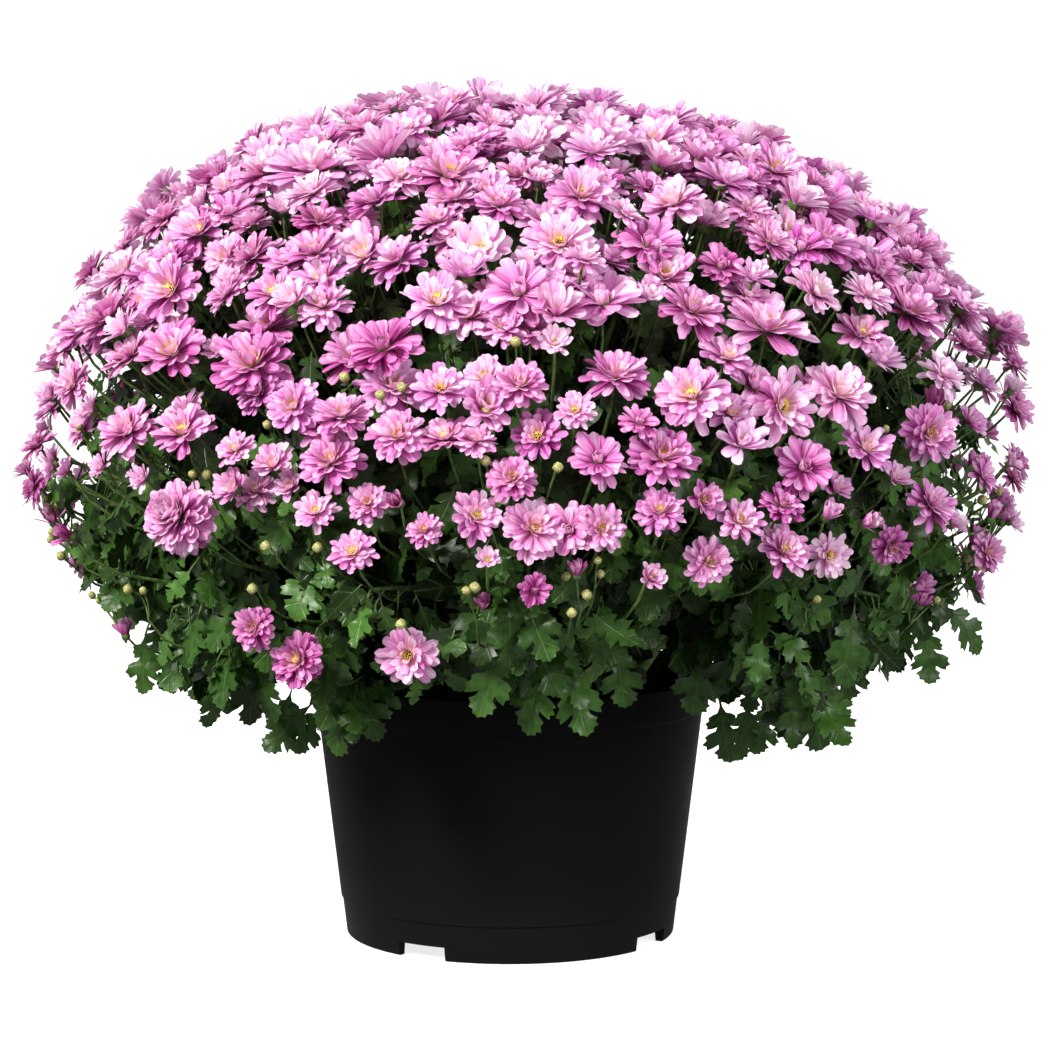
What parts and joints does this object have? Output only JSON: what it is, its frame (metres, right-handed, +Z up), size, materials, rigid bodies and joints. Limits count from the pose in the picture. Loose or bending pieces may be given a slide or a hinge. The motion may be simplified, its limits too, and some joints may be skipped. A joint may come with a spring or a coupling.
{
  "type": "pot chrysanthemum",
  "caption": "Flowering pot plant: a wide dome of pink double blooms over lobed green foliage, on stems that stand in soil in a black tapered nursery pot.",
  "frame": {"origin": "centre of the flat hub under the pot, on the plane that the pot stands on", "axes": "+Z up, -Y is the picture's front, +X to the right seen from the front"},
  "size_m": [0.6244, 0.6191, 0.5183],
  "materials": {
    "pot": "black moulded polypropylene, satin with dull scuffs",
    "soil": "dark moist peat, matt and crumbly",
    "leaf": "dark green leaves with a soft sheen, paler veins",
    "petal": "pink petals, paler at the tips, with fine lengthwise streaks"
  },
  "bodies": {
    "root": {"pot": "pot", "soil": "soil", "leafy_stem_01": "leaf", "leafy_stem_02": "leaf", "leafy_stem_03": "leaf", "leafy_stem_04": "leaf", "leafy_stem_05": "leaf", "leafy_stem_06": "leaf", "leafy_stem_07": "leaf", "leafy_stem_08": "leaf", "leafy_stem_09": "leaf", "leafy_stem_10": "leaf", "leafy_stem_11": "leaf", "leafy_stem_12": "leaf", "spray_01": "petal", "spray_02": "petal", "spray_03": "petal", "spray_04": "petal", "spray_05": "petal", "spray_06": "petal", "spray_07": "petal", "spray_08": "petal", "spray_09": "petal", "spray_10": "petal", "spray_11": "petal", "spray_12": "petal", "spray_13": "petal", "spray_14": "petal", "spray_15": "petal", "spray_16": "petal", "spray_17": "petal", "spray_18": "petal", "spray_19": "petal", "spray_20": "petal", "spray_21": "petal", "spray_22": "petal", "spray_23": "petal", "spray_24": "petal", "spray_25": "petal", "spray_26": "petal", "spray_27": "petal", "spray_28": "petal", "spray_29": "petal", "spray_30": "petal", "spray_31": "petal", "spray_32": "petal", "spray_33": "petal", "spray_34": "petal", "spray_35": "petal", "spray_36": "petal", "spray_37": "petal", "spray_38": "petal", "spray_39": "petal", "spray_40": "petal", "spray_41": "petal", "spray_42": "petal", "spray_43": "petal", "spray_44": "petal"}
  },
  "joints": []
}
